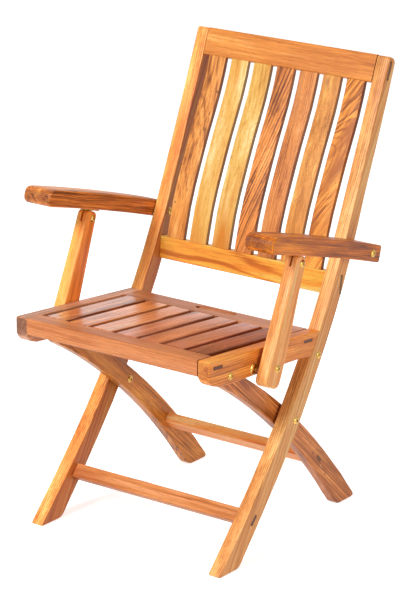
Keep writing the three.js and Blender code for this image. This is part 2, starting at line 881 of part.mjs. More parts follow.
function makeArms() {
  const widest = armInner + Math.max(armNoseWidth, armTailWidth);
  let arm = solid(board(armOutline(), armInner, widest, armArris, armBevelSegments));
  arm = arm.intersect(solid(armPlan()));
  arm = arm.subtract(bore(armPivot, armInner, widest));
  addPair('armrest', arm, colours.dark);

  // The bracket's tongue stands in a slot that is open at the support's top.
  const run = supportHead.clone().sub(supportFoot);
  const slotSize = slotLengthShare * (armThickness + tongueDrop);
  const slotCentre = supportHead.clone()
    .addScaledVector(run.clone().normalize(), slotSize / 2 - slotReach);
  const slot = leaning(slotCentre, Math.atan2(run.x, run.y), slotSize, slotSize);
  const half = slotWidth / 2;
  let support = solid(board(supportOutline(), supportInner, supportOuter, supportArris));
  support = support.subtract(solid(board(slot, supportMiddle - half, supportMiddle + half)));
  support = support.subtract(bore(supportHead, supportInner, supportOuter));
  support = support.subtract(bore(supportFoot, supportInner, supportOuter));

  // The support's head keeps clear of the bracket's plate.
  const roomRise = tongueDrop - plateThickness - 2 * fit + slotSize / 2;
  const roomCentre = supportHead.clone().addScaledVector(armUp, roomRise);
  const room = leaning(roomCentre, armSlope, slotSize, slotSize);
  support = support.subtract(solid(board(room, supportInner - overrun, supportOuter + overrun)));
  addPair('arm_support', support, colours.orange);

  const plateRise = tongueDrop - fit - plateThickness / 2;
  const plateCentre = supportHead.clone().addScaledVector(armUp, plateRise);
  const tongueHeight = plateRise + tongueWidth / 2;
  const tongueCut = tongueWidth * tongueCutShare;
  const tongueCentre = plateCentre.clone().addScaledVector(armUp, -tongueHeight / 2);
  let bracket = solid(board(
    leaning(plateCentre, armSlope, plateThickness, plateLength),
    supportMiddle - plateWidth / 2,
    supportMiddle + plateWidth / 2,
  ));
  bracket = bracket.add(solid(board(
    leaning(tongueCentre, armSlope, tongueHeight, tongueWidth, tongueCut),
    supportMiddle - tonguePlate / 2,
    supportMiddle + tonguePlate / 2,
  )));
  bracket = bracket.subtract(bore(supportHead, supportInner, supportOuter));
  addPair('arm_bracket', bracket, colours.brass);
}

// Bolts: a shank with a domed head at one end or both
// Each row gives a head's radius and height as shares of the full ones.
const domeShares = [
  [1, 0],
  [0.9, 0.5],
  [0.55, 0.9],
  [0, 1],
];

function boltShape(centre, from, to, headOut, headIn) {
  const r = boltDiameter / 2;
  const dome = (base, side) => domeShares.map(([wide, high]) => [
    headDiameter / 2 * wide,
    base + side * headHeight * high,
  ]);
  const profile = [
    ...(headIn ? dome(from, -1).reverse() : [[0, from]]),
    [r, from],
    [r, to],
    ...(headOut ? dome(to, 1) : [[0, to]]),
  ];
  const geometry = new THREE.LatheGeometry(profile.map(([x, y]) => point(x, y)), 14);
  geometry.rotateZ(-Math.PI / 2);
  geometry.translate(0, centre.x, centre.y);
  return solid(geometry);
}

function washerShape(centre, from, to) {
  const inner = boreRadius;
  const outer = washerDiameter / 2;
  const profile = [[inner, from], [outer, from], [outer, to], [inner, to], [inner, from]];
  const geometry = new THREE.LatheGeometry(profile.map(([x, y]) => point(x, y)), 16);
  geometry.rotateZ(-Math.PI / 2);
  geometry.translate(0, centre.x, centre.y);
  return solid(geometry);
}

function makeFittings() {
  const brass = colours.brass;
  const seam = fit / 2;
  addPair('leg_bolt', boltShape(legPivot, legInner - seam, halfFrame + seam, true, true), brass);
  addPair('seat_bolt', boltShape(seatPivot, legInner - seam, halfFrame + seam, true, true), brass);
  addPair('rest_pin', boltShape(restPin, postInner - restPinReach, halfFrame + seam, true, false), brass);
  const armOuter = armInner + armTailWidth + (armNoseWidth - armTailWidth) * armTail / armLength;
  addPair('arm_bolt', boltShape(armPivot, postInner - seam, armOuter + fit, true, true), brass);
  addPair(
    'support_top_bolt',
    boltShape(supportHead, supportInner - seam, supportOuter + seam, true, true),
    brass,
  );
  addPair(
    'support_foot_bolt',
    boltShape(supportFoot, halfFrame + fit, supportOuter + seam, true, false),
    brass,
  );
  addPair(
    'seat_foot_bolt',
    boltShape(supportFoot, sideRailInner - seam, halfFrame, false, true),
    brass,
  );
  addPair('leg_washer', washerShape(legPivot, legOuter + fit, postInner - fit), brass);
  addPair('seat_washer', washerShape(seatPivot, legOuter + fit, sideRailInner - fit), brass);
  addPair('support_washer', washerShape(supportFoot, halfFrame + fit, supportInner - fit), brass);
}

makeBackFrame();
makeSeat();
makeRests();
makeLegFrame();
makeArms();
makeFittings();

export default chair;
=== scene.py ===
import bpy
import json
import math
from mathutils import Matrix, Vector


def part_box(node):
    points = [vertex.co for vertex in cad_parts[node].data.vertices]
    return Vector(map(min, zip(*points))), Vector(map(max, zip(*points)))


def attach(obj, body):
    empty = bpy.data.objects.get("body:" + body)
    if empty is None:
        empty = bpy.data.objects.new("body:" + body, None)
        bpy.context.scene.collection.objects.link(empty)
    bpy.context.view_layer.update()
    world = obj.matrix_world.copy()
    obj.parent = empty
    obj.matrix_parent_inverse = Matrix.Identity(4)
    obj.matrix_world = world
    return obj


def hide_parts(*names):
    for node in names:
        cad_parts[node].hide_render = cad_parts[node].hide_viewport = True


# A folding teak armchair, open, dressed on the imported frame. Metres, +Z up, facing -Y.
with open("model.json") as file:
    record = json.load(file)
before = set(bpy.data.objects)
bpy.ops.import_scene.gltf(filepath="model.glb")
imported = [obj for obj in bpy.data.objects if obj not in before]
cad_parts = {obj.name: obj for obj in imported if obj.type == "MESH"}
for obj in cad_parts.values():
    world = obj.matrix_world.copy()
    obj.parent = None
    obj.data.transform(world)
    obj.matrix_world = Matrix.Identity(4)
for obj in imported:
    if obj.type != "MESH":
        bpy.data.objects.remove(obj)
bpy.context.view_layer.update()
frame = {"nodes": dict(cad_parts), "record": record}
nodes = frame["nodes"]
slotOf = {part["node"]: part["material_slot"] for part in frame["record"]["subparts"]}
bodyOf = {node: body for body, held in frame["record"]["behaviour"]["bodies"].items() for node in held}


# Short ways to add a shader's nodes

def freshMaterial(name):
    material = bpy.data.materials.new(name)
    material.use_nodes = True
    material.node_tree.nodes.clear()
    return material, material.node_tree


def addNode(tree, kind, inputs=None, **settings):
    made = tree.nodes.new(kind)
    for key, value in settings.items():
        setattr(made, key, value)
    for key, value in (inputs or {}).items():
        if isinstance(value, bpy.types.NodeSocket):
            tree.links.new(value, made.inputs[key])
        else:
            made.inputs[key].default_value = value
    return made


def calc(tree, operation, first, second=0.0):
    return addNode(tree, "ShaderNodeMath", {0: first, 1: second}, operation=operation).outputs[0]


def vectorCalc(tree, operation, first, second=(0, 0, 0)):
    made = addNode(tree, "ShaderNodeVectorMath", {0: first, 1: second}, operation=operation)
    givesNumber = operation in ("LENGTH", "DISTANCE", "DOT_PRODUCT")
    return made.outputs["Value" if givesNumber else "Vector"]


def scaleVector(tree, vector, amount):
    made = addNode(tree, "ShaderNodeVectorMath", {0: vector, "Scale": amount}, operation="SCALE")
    return made.outputs["Vector"]


def spread(tree, value, low, high, start, end, **settings):  # low to high becomes start to end
    made = addNode(tree, "ShaderNodeMapRange", {
        "Value": value, "From Min": low, "From Max": high, "To Min": start, "To Max": end}, **settings)
    return made.outputs[0]


def blend(tree, amount, under, over):  # a Mix node's colours are its sockets 6 and 7
    return addNode(tree, "ShaderNodeMix", {0: amount, 6: under, 7: over}, data_type="RGBA").outputs[2]


def addNoise(tree, place, scale, detail, roughness=0.5):
    return addNode(tree, "ShaderNodeTexNoise", {
        "Vector": place, "Scale": scale, "Detail": detail, "Roughness": roughness}).outputs


def addRamp(tree, value, stops):
    made = addNode(tree, "ShaderNodeValToRGB", {"Fac": value})
    marks = made.color_ramp.elements
    marks[0].position, marks[0].color = stops[0]
    marks[1].position, marks[1].color = stops[-1]
    for spot, tint in stops[1:-1]:
        marks.new(spot).color = tint
    return made.outputs["Color"]


def colour(code):  # from a screen's colour code to Blender's linear colour
    channels = [int(code[i:i + 2], 16) / 255 for i in (1, 3, 5)]
    return tuple(c / 12.92 if c <= 0.04045 else ((c + 0.055) / 1.055) ** 2.4 for c in channels) + (1.0,)


# Studio: the photograph's angle, a pale floor and soft lamps

camera = {
    "place": (3.2215, -4.3445, 2.1878),
    "tilt": 72.05,
    "turn": 36.59,
    "lens": 175.7,
    "sensor": 36,
}

studio = {
    "floorSize": 40.0,
    "floorColour": (0.93, 0.93, 0.93),
    "floorLift": 0.62,  # white added for the camera, so that the bare floor is white
    "skyLight": 0.24,
    "lampsAim": (0, 0, 0.45),
    "lamps": {
        "keyLamp": {"place": (-0.9, -4.6, 3.6), "size": 1.6, "watts": 262},
        "fillLamp": {"place": (5.2, -0.9, 1.8), "size": 1.6, "watts": 88},
        "topLamp": {"place": (0.6, 2.2, 4.6), "size": 2.5, "watts": 62},
    },
}


def makeCamera():
    data = bpy.data.cameras.new("photoCamera")
    data.sensor_width = camera["sensor"]
    data.lens = camera["lens"]
    view = bpy.data.objects.new("photoCamera", data)
    view.location = camera["place"]
    view.rotation_euler = (math.radians(camera["tilt"]), 0, math.radians(camera["turn"]))
    bpy.context.scene.collection.objects.link(view)
    bpy.context.scene.camera = view


def seenRays(tree):  # what the camera sees, straight on, mirrored or through glass
    light = addNode(tree, "ShaderNodeLightPath").outputs
    seen = calc(tree, "MAXIMUM", light["Is Camera Ray"], light["Is Glossy Ray"])
    return calc(tree, "MAXIMUM", seen, light["Is Transmission Ray"])


def makeSky():
    world = bpy.data.worlds.new("studioSky")
    world.use_nodes = True
    tree = world.node_tree
    tree.nodes.clear()
    level = spread(tree, seenRays(tree), 0.0, 1.0, studio["skyLight"], 1.0)
    sky = addNode(tree, "ShaderNodeBackground", {"Color": (1, 1, 1, 1), "Strength": level})
    addNode(tree, "ShaderNodeOutputWorld", {"Surface": sky.outputs[0]})
    bpy.context.scene.world = world


def makeFloor():
    bpy.ops.object.select_all(action="DESELECT")
    bpy.ops.mesh.primitive_plane_add(size=studio["floorSize"])
    floor = bpy.context.active_object
    floor.name = "studioFloor"
    material, tree = freshMaterial("studioFloorWhite")
    paint = addNode(tree, "ShaderNodeBsdfDiffuse", {"Color": (*studio["floorColour"], 1)})
    lift = calc(tree, "MULTIPLY", seenRays(tree), studio["floorLift"])
    glow = addNode(tree, "ShaderNodeEmission", {"Color": (1, 1, 1, 1), "Strength": lift})
    both = addNode(tree, "ShaderNodeAddShader", {0: paint.outputs[0], 1: glow.outputs[0]})
    addNode(tree, "ShaderNodeOutputMaterial", {"Surface": both.outputs[0]})
    floor.data.materials.append(material)


def makeLamps():
    for name, lamp in studio["lamps"].items():
        data = bpy.data.lights.new(name, "AREA")
        data.shape = "DISK"
        data.size = lamp["size"]
        data.energy = lamp["watts"]
        lit = bpy.data.objects.new(name, data)
        lit.location = lamp["place"]
        aim = Vector(studio["lampsAim"]) - lit.location
        lit.rotation_euler = aim.to_track_quat("-Z", "Y").to_euler()
        bpy.context.scene.collection.objects.link(lit)


bpy.context.scene.view_settings.view_transform = "Standard"
makeCamera()
makeSky()
makeFloor()
makeLamps()
print("studio ready")


# Oiled teak: growth rings around a pith beside each board, with bands, streaks and pores

figure = {                       # what all the wood shares
    "nameShift": 0.37,           # moves each board along the tree, so that no two share their grain
    "patterns": {                # stretch along the fibres, scale, detail, roughness
        "wander": (0.3, 7.0, 2.0, 0.5),
        "bands": (0.07, 34.0, 2.0, 0.5),
        "streaks": (0.045, 210.0, 2.0, 0.6),
        "fibres": (0.03, 640.0, 3.0, 0.65),
        "pores": (0.045, 1250.0, 1.0, 0.5),
        "blush": (0.22, 19.0, 2.0, 0.5),
    },
    "lateWood": (                # the place across a ring, and how dark it is there
        (0.0, 0.35), (0.12, 0.0), (0.55, 0.12), (0.86, 1.0), (1.0, 0.4)),
    "toneLevel": 0.55,
    "toneStops": (0.0, 0.27, 0.58, 0.95),  # where the first four tones lie
    "blushEdge": (0.5, 0.68),    # from bare to full in the blush pattern
    "poreEdge": (0.33, 0.45),    # from full to bare in the pores pattern
    "poreTone": 0.45,
    "faceEdge": (0.8, 0.97),     # how squarely a face has to look along a way to be darkened, for end grain and for painted shade
    "fibreSpan": (0.3, 0.7),     # from smooth to rough in the fibres pattern
    "roughSwing": (-0.07, 0.09),
    "relief": {"fibres": 0.35, "rings": -0.25, "pores": -0.5, "strength": 0.35, "depth": 0.0004},
    "coatRoughness": 0.22,
}

plainTeak = {                    # what a board is unless its own entry says otherwise
    "grain": (0, 0, 1),          # the way the fibres run
    "pith": 0.11,                # how far the tree's middle lies from the board
    "around": 20,                # and on which side, in degrees
    "ring": 0.005,
    "wander": 0.012,             # how far the rings stray from circles
    "tones": ("#7a3d18", "#b4703a", "#e39b58", "#f6c083", "#c8642c"),  # lines, dark, mid, pale, blush
    "blushShare": 0.25,          # how strong the patches of blush are
    "bands": 0.9,
    "streaks": 0.5,
    "fibres": 0.35,
    "ringTone": 0.22,            # how much the rings differ from each other
    "ringLine": 0.55,            # how dark the line between two rings is
    "roughness": 0.36,
    "gloss": 0.28,
    "coat": 0.0,
    "endTone": 0.12,             # how much darker the end grain is
    "endStain": "#5a2a10",
    "sideShade": 0.0,             # painted shade on the faces to the left and right, in the colour below
    "sideShadeColour": "#6e3010",
}

knots = {
    "back_slat_1": (
        {"at": (-0.148, 0.235, 0.782), "size": 0.0034, "long": 1.6},
        {"at": (-0.152, 0.214, 0.741), "size": 0.0022, "long": 2.0},
        {"at": (-0.154, 0.199, 0.711), "size": 0.0046, "long": 2.2, "depth": 0.7},
        {"at": (-0.180, 0.137, 0.571), "size": 0.0028, "long": 1.5},
    ),
    "back_slat_3": (
        {"at": (-0.0735, 0.180, 0.672), "size": 0.0022, "long": 1.6},
    ),
    "back_slat_4": (
        {"at": (-0.010, 0.261, 0.846), "size": 0.005, "long": 2.4, "way": (0, 0.35, 0.9), "depth": 0.6},
        {"at": (-0.010, 0.163, 0.635), "size": 0.0042, "long": 2.0, "depth": 0.7},
    ),
    "back_slat_6": (
        {"at": (0.103, 0.255, 0.834), "size": 0.0065, "long": 2.6, "way": (0, 0.3, 0.9), "depth": 0.55,
         "stain": "#8a4a3a"},
    ),
    "rear_leg_left": (
        {"at": (0.1956, 0.086, 0.136), "size": 0.003, "long": 1.8, "way": (0, -0.74, 0.67)},
        {"at": (0.1956, 0.128, 0.079), "size": 0.0026, "long": 1.6, "way": (0, -0.74, 0.67)},
    ),
}

# Core, rim and raggedness are in shares of the knot's size
knotShape = {"core": 0.7, "rim": 1.7, "ragged": 1.3, "scale": 0.9, "detail": 3.0}

cracks = {
    "back_slat_3": (
        {"start": (-0.079, 0.147, 0.592), "end": (-0.045, 0.142, 0.582), "width": 0.0005, "depth": 0.55},
    ),
    "back_slat_6": (
        {"start": (0.101, 0.199, 0.711), "end": (0.107, 0.180, 0.672), "bow": 0.003},
        {"start": (0.107, 0.180, 0.672), "end": (0.112, 0.164, 0.634), "bow": 0.003, "depth": 0.6},
    ),
    "back_bottom_rail": (
        {"start": (-0.201, 0.112, 0.461), "end": (-0.164, 0.1115, 0.4575), "bow": 0.002},
    ),
    "armrest_right": (
        {"start": (-0.288, -0.186, 0.657), "end": (-0.274, -0.194, 0.647), "width": 0.0009},
        {"start": (-0.274, -0.194, 0.647), "end": (-0.263, -0.195, 0.636), "width": 0.0009},
    ),
    "seat_side_rail_right": (
        {"start": (-0.226, -0.302, 0.430), "end": (-0.205, -0.299, 0.400), "width": 0.0009},
    ),
    "rear_leg_left": (
        {"start": (0.1956, 0.112, 0.104), "end": (0.1956, 0.121, 0.081), "width": 0.0008, "depth": 0.7,
         "stain": "#e8b488"},
    ),
}

# Core and rim are in shares of the crack's width, and it strays by four times its bow
crackShape = {"core": 0.5, "rim": 1.5, "stray": 4, "scale": 60.0, "detail": 2.0}


def addKnot(tree, place, surface, at, size, long, way=(0, 0.4, 0.9), stain="#4a2413", depth=0.85):
    turn = Vector(way).normalized().rotation_difference(Vector((0, 0, 1)))
    away = addNode(tree, "ShaderNodeMapping", {
        "Vector": place, "Location": -(turn @ Vector(at)), "Rotation": turn.to_euler()}).outputs[0]
    drawn = vectorCalc(tree, "MULTIPLY", away, (1, 1, 1 / long))
    ragged = addNoise(tree, drawn, knotShape["scale"] / size, knotShape["detail"])["Fac"]
    wobble = calc(tree, "MULTIPLY", ragged, size * knotShape["ragged"])
    length = calc(tree, "ADD", vectorCalc(tree, "LENGTH", drawn), wobble)
    mask = spread(tree, length, size * knotShape["core"], size * knotShape["rim"], depth, 0.0,
                  interpolation_type="SMOOTHSTEP")
    return blend(tree, mask, surface, colour(stain))


def addCrack(tree, place, surface, start, end, width=0.0007, bow=0.0015, stain="#3a1a0a", depth=0.85):
    start = Vector(start)
    run = Vector(end) - start
    stray = addNoise(tree, place, crackShape["scale"], crackShape["detail"])["Color"]
    stray = vectorCalc(tree, "SUBTRACT", stray, (0.5, 0.5, 0.5))
    stray = scaleVector(tree, stray, bow * crackShape["stray"])
    away = vectorCalc(tree, "ADD", vectorCalc(tree, "SUBTRACT", place, start), stray)
    share = vectorCalc(tree, "DOT_PRODUCT", away, run / run.length_squared)
    share = addNode(tree, "ShaderNodeClamp", {"Value": share}).outputs[0]
    away = vectorCalc(tree, "DISTANCE", away, scaleVector(tree, run, share))
    mask = spread(tree, away, width * crackShape["core"], width * crackShape["rim"], depth, 0.0)
    return blend(tree, mask, surface, colour(stain))


def woodSpace(tree, place, centre, name, look):  # the board in its tree: fibres along Z, the pith at nought
    turn = Vector(look["grain"]).normalized().rotation_difference(Vector((0, 0, 1)))
    side = math.radians(look["around"])
    pith = Vector((math.cos(side), math.sin(side), 0)) * look["pith"]
    shift = pith - turn @ Vector(centre)
    shift.z += sum(ord(letter) for letter in name) * figure["nameShift"]
    return addNode(tree, "ShaderNodeMapping", {
        "Vector": place, "Location": shift, "Rotation": turn.to_euler()}).outputs[0]


def addPattern(tree, wood, kind):
    stretch, scale, detail, roughness = figure["patterns"][kind]
    drawn = addNode(tree, "ShaderNodeMapping", {"Vector": wood, "Scale": (1, 1, stretch)}).outputs[0]
    return addNoise(tree, drawn, scale, detail, roughness)["Fac"]


def swing(tree, value, depth):  # a pattern around nought
    return calc(tree, "MULTIPLY", calc(tree, "SUBTRACT", value, 0.5), depth * 2)


def addRings(tree, wood, look):  # a chance value for each ring, and the dark line that ends it
    reach = vectorCalc(tree, "LENGTH", vectorCalc(tree, "MULTIPLY", wood, (1, 1, 0)))
    stray = swing(tree, addPattern(tree, wood, "wander"), look["wander"])
    phase = calc(tree, "MULTIPLY", calc(tree, "ADD", reach, stray), 1 / look["ring"])
    chance = addNode(tree, "ShaderNodeTexWhiteNoise", {"W": calc(tree, "FLOOR", phase)},
                     noise_dimensions="1D").outputs["Value"]
    stops = [(spot, (level, level, level, 1)) for spot, level in figure["lateWood"]]
    line = addRamp(tree, calc(tree, "FRACT", phase), stops)
    line = calc(tree, "MULTIPLY", line, calc(tree, "MULTIPLY", chance, look["ringLine"]))
    return chance, line


def endGrainAndSideShade(tree, normal, surface, way, share, stain):  # darkens the faces that look along this way, or against it: end grain, and painted shade on the side faces
    facing = calc(tree, "ABSOLUTE", vectorCalc(tree, "DOT_PRODUCT", normal, way))
    mask = spread(tree, facing, *figure["faceEdge"], 0.0, share)
    return blend(tree, mask, surface, colour(stain))


def makeTeak(name, centre, look):
    look = {**plainTeak, **look}
    lineTone, darkTone, midTone, paleTone, blushTone = [colour(code) for code in look["tones"]]
    material, tree = freshMaterial("teak_" + name)
    here = addNode(tree, "ShaderNodeTexCoord").outputs
    place = here["Object"]
    wood = woodSpace(tree, place, centre, name, look)
    ringChance, ringLine = addRings(tree, wood, look)
    bands = addPattern(tree, wood, "bands")
    streaks = addPattern(tree, wood, "streaks")
    fibres = addPattern(tree, wood, "fibres")

    tone = calc(tree, "ADD", swing(tree, bands, look["bands"]), figure["toneLevel"])
    tone = calc(tree, "ADD", tone, swing(tree, streaks, look["streaks"]))
    tone = calc(tree, "ADD", tone, swing(tree, fibres, look["fibres"]))
    tone = calc(tree, "ADD", tone, swing(tree, ringChance, look["ringTone"] / 2))
    tone = calc(tree, "SUBTRACT", tone, ringLine)
    tints = (lineTone, darkTone, midTone, paleTone)
    surface = addRamp(tree, tone, list(zip(figure["toneStops"], tints)))

    patches = spread(tree, addPattern(tree, wood, "blush"), *figure["blushEdge"], 0.0, look["blushShare"] * 2)
    surface = blend(tree, patches, surface, blushTone)
    grit = spread(tree, addPattern(tree, wood, "pores"), *figure["poreEdge"], figure["poreTone"], 0.0)
    surface = blend(tree, grit, surface, lineTone)
    # Painted shade: the faces that look along X, the sides of slats and posts in the narrow gaps, are
    # darkened
    surface = endGrainAndSideShade(tree, here["Normal"], surface, (1, 0, 0), look["sideShade"], look["sideShadeColour"])
    grain = Vector(look["grain"]).normalized()
    surface = endGrainAndSideShade(tree, here["Normal"], surface, grain, look["endTone"], look["endStain"])
    for knot in knots.get(name, ()):
        surface = addKnot(tree, place, surface, **knot)
    for crack in cracks.get(name, ()):
        surface = addCrack(tree, place, surface, **crack)

    lessRough, moreRough = figure["roughSwing"]
    rough = spread(tree, fibres, *figure["fibreSpan"],
                   look["roughness"] + lessRough, look["roughness"] + moreRough)
    relief = figure["relief"]
    height = calc(tree, "ADD", swing(tree, fibres, relief["fibres"]),
                  calc(tree, "MULTIPLY", ringLine, relief["rings"]))
    height = calc(tree, "ADD", height, calc(tree, "MULTIPLY", grit, relief["pores"]))
    bump = addNode(tree, "ShaderNodeBump", {
        "Height": height, "Strength": relief["strength"], "Distance": relief["depth"]})
    skin = addNode(tree, "ShaderNodeBsdfPrincipled", {
        "Base Color": surface, "Roughness": rough, "Normal": bump.outputs[0],
        "Specular IOR Level": look["gloss"], "Coat Weight": look["coat"],
        "Coat Roughness": figure["coatRoughness"]})
    addNode(tree, "ShaderNodeOutputMaterial", {"Surface": skin.outputs[0]})
    return material


# Softly rounded arrises on the pieces that keep their CAD shape. Angles in degrees.

edges = {"merge": 0.00002, "flat": 0.4, "sharp": 62, "steps": 2, "woodRound": 0.0006, "brassRound": 0.0003}


def makeSmoother():
    group = bpy.data.node_groups.new("smoothFaces", "GeometryNodeTree")
    group.interface.new_socket("Geometry", in_out="INPUT", socket_type="NodeSocketGeometry")
    group.interface.new_socket("Geometry", in_out="OUTPUT", socket_type="NodeSocketGeometry")
    start = group.nodes.new("NodeGroupInput")
    angle = group.nodes.new("GeometryNodeInputMeshEdgeAngle")
    small = addNode(group, "FunctionNodeCompare", {"A": angle.outputs[0], "B": math.radians(edges["sharp"])},
                    operation="LESS_THAN")
    faces = addNode(group, "GeometryNodeSetShadeSmooth", {
        "Geometry": start.outputs[0], "Shade Smooth": True}, domain="FACE")
    sides = addNode(group, "GeometryNodeSetShadeSmooth", {
        "Geometry": faces.outputs[0], "Shade Smooth": small.outputs[0]}, domain="EDGE")
    addNode(group, "NodeGroupOutput", {"Geometry": sides.outputs[0]})
    return group


smoother = makeSmoother()


def softenEdges(piece, width):
    weld = piece.modifiers.new("weld", "WELD")
    weld.merge_threshold = edges["merge"]
    flat = piece.modifiers.new("flatFaces", "DECIMATE")
    flat.decimate_type = "DISSOLVE"
    flat.angle_limit = math.radians(edges["flat"])
    bevel = piece.modifiers.new("arris", "BEVEL")
    bevel.limit_method = "ANGLE"
    bevel.angle_limit = math.radians(edges["sharp"])
    bevel.width = width
    bevel.segments = edges["steps"]
    bevel.use_clamp_overlap = False
    smooth = piece.modifiers.new("smooth", "NODES")
    smooth.node_group = smoother
    weighted = piece.modifiers.new("evenFaces", "WEIGHTED_NORMAL")
    weighted.keep_sharp = True


def giveMaterial(piece, material):
    piece.data.materials.clear()
    piece.data.materials.append(material)


def dress(boards, shared):
    for name, look in boards.items():
        low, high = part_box(name)
        giveMaterial(nodes[name], makeTeak(name, (low + high) / 2, {**shared, **look}))
        softenEdges(nodes[name], edges["woodRound"])


# The boards. Each family's shared look comes first, then what each board has of its own.

crossBoard = {"grain": (1, 0, 0), "endTone": 0.85, "endStain": "#3c1c10"}
crossBoards = {
    "back_top_rail": {
        "pith": 0.16, "around": 20, "ring": 0.006, "wander": 0.02,
        "bands": 0.6, "ringLine": 0.4, "blushShare": 0.2,
        "tones": ("#9d4e24", "#c87429", "#e08d3c", "#f0ac5c", "#b96529")},
    "back_bottom_rail": {
        "pith": 0.07, "around": 65, "ring": 0.009, "wander": 0.03,
        "bands": 1.1, "ringLine": 0.7, "blushShare": 0.35,
        "tones": ("#c06720", "#f09b3a", "#f0b848", "#f4d583", "#f08130")},
    "front_stretcher": {
        "pith": 0.09, "around": 20, "ring": 0.006, "wander": 0.01, "ringLine": 0.6,
        "tones": ("#8e4b25", "#c27135", "#d88748", "#e6a16d", "#b45b2b")},
    "rear_stretcher": {
        "pith": 0.1, "around": 30,
        "tones": ("#b36431", "#f6954d", "#fab162", "#fad392", "#ed833d")},
    "seat_front_rail": {
        "pith": 0.15, "around": 15,
        "tones": ("#8e4c26", "#bd6d39", "#d3844e", "#e39b67", "#ae5a2a")},
    "seat_rear_rail": {
        "pith": 0.13, "around": 60,
        "tones": ("#824d32", "#b46f44", "#cb865c", "#e0a486", "#a25935")},
}

post = {"grain": (0, 0.5, 0.866), "bands": 0.8, "ringLine": 0.8}
# On the posts, the side darkening is painted shade on the faces to the left and right, darkest on
# post_right's inner face
posts = {
    "post_left": {
        "pith": 0.2, "around": 8, "ring": 0.0042, "wander": 0.006, "blushShare": 0.2,
        "sideShade": 0.4, "sideShadeColour": "#a85c24",
        "tones": ("#b06c33", "#da914c", "#fab668", "#ffdd97", "#e38a47")},
    "post_right": {
        "pith": 0.17, "around": 172, "ring": 0.0046, "wander": 0.008, "blushShare": 0.3,
        "sideShade": 0.6, "sideShadeColour": "#964617",
        "tones": ("#bc652e", "#ed8d40", "#ffb55c", "#ffe085", "#f38139")},
}

# On the back slats, the side darkening is painted shade on their side faces, in the gaps between them
backSlat = {"grain": (0, 0.29, 0.957), "sideShade": 0.6}
backSlats = {
    "back_slat_1": {
        "pith": 0.09, "around": 70, "ring": 0.007, "wander": 0.03,
        "bands": 0.7, "streaks": 0.8, "ringLine": 0.5, "blushShare": 0.5,
        "tones": ("#793d13", "#b36b30", "#e39243", "#f4b162", "#af6025")},
    "back_slat_2": {
        "pith": 0.2, "around": 20, "ring": 0.007, "wander": 0.01, "ringLine": 0.25, "blushShare": 0.45,
        "tones": ("#c17d2c", "#d99f46", "#e3b05b", "#f3d593", "#d7832c")},
    "back_slat_3": {
        "pith": 0.18, "around": 200, "ring": 0.008, "wander": 0.01,
        "bands": 1.0, "ringLine": 0.25, "blushShare": 0.6,
        "tones": ("#b67628", "#d8a049", "#e5b964", "#f4dda2", "#d2812c")},
    "back_slat_4": {
        "grain": (0.26, 0.28, 0.92), "pith": 0.09, "around": 20, "ring": 0.006, "wander": 0.02,
        "bands": 1.1, "ringLine": 0.95, "blushShare": 0.4,
        "tones": ("#743920", "#bf7333", "#f39649", "#ffb666", "#b7652b")},
    "back_slat_5": {
        "pith": 0.16, "around": 10, "ring": 0.004, "wander": 0.008,
        "bands": 0.7, "ringLine": 0.6, "blushShare": 0.4,
        "tones": ("#8b4b24", "#c17135", "#df8e4a", "#e5a666", "#a95e32")},
    "back_slat_6": {
        "pith": 0.08, "around": 95, "ring": 0.02, "wander": 0.02,
        "bands": 0.5, "ringLine": 0.4, "blushShare": 0.2,
        "tones": ("#884e24", "#c17933", "#df9547", "#e6c770", "#c27631")},
    "back_slat_7": {
        "grain": (0.5, 0.26, 0.83), "pith": 0.07, "around": 50, "ring": 0.0035,
        "streaks": 0.9, "ringLine": 0.9, "blushShare": 0.6,
        "tones": ("#934e1c", "#d48032", "#f8a043", "#fabc59", "#b26327")},
}

support = {"grain": (0, 0.36, 0.93)}
supports = {
    # On arm_support_left, the side darkening is painted shade on its faces to the left and right
    "arm_support_left": {
        "pith": 0.15, "around": 15, "blushShare": 0.15, "sideShade": 0.4, "sideShadeColour": "#cb6b1e",
        "tones": ("#b96b33", "#e8974f", "#ffb667", "#ffda95", "#f08b40")},
    "arm_support_right": {
        "pith": 0.12, "around": 165, "blushShare": 0.1,
        "tones": ("#d5702d", "#ff963d", "#ffb152", "#ffc96b", "#ff8f39")},
}

sideRail = {"grain": (0, -1, 0.09)}
sideRails = {
    "seat_side_rail_left": {
        "pith": 0.1, "around": 80, "endTone": 0.4, "endStain": "#6f311a",
        "tones": ("#a2541d", "#dc7d30", "#f89c3f", "#ffbb57", "#c76727")},
    "seat_side_rail_right": {
        "pith": 0.08, "around": 150, "endTone": 0.65, "endStain": "#50281a",
        "tones": ("#925b3b", "#c88861", "#e4a27b", "#fac5a9", "#b56c4a")},
}

# On the seat slats, the side darkening is painted shade on their side faces, in the gaps between them
seatSlat = {  # worn smoother than the rest
    "grain": (0, 1, -0.095), "wander": 0.015, "bands": 1.3, "streaks": 1.1, "ringLine": 0.8,
    "roughness": 0.3, "gloss": 0.5, "coat": 0.7, "sideShade": 0.5}
seatSlats = {
    "seat_slat_1": {"around": 30, "tones": ("#884724", "#bc6b3e", "#d88855", "#f0a987", "#a15627")},
    "seat_slat_2": {"around": 85, "tones": ("#a75826", "#e18241", "#f79c55", "#f7be82", "#b85b22")},
    "seat_slat_3": {"around": 140, "tones": ("#9c5021", "#d2753e", "#e88b4e", "#e8a87a", "#a64e21")},
    "seat_slat_4": {"around": 195, "tones": ("#894424", "#bc653e", "#d47c50", "#e89776", "#a04d24")},
    "seat_slat_5": {"around": 250, "tones": ("#7f3912", "#b45825", "#c86931", "#db814a", "#974012")},
    "seat_slat_6": {"around": 305, "tones": ("#6c250a", "#973b15", "#ae4a1d", "#bf5f2f", "#882f0a")},
    # Painted shade: seat_slat_7 has no coat and less gloss, so that it lacks the sheen where the armrest's
    # shadow lies
    "seat_slat_7": {
        "around": 360, "coat": 0.0, "gloss": 0.3,
        "tones": ("#652506", "#8d390b", "#a14513", "#b2571e", "#7e2b06")},
}

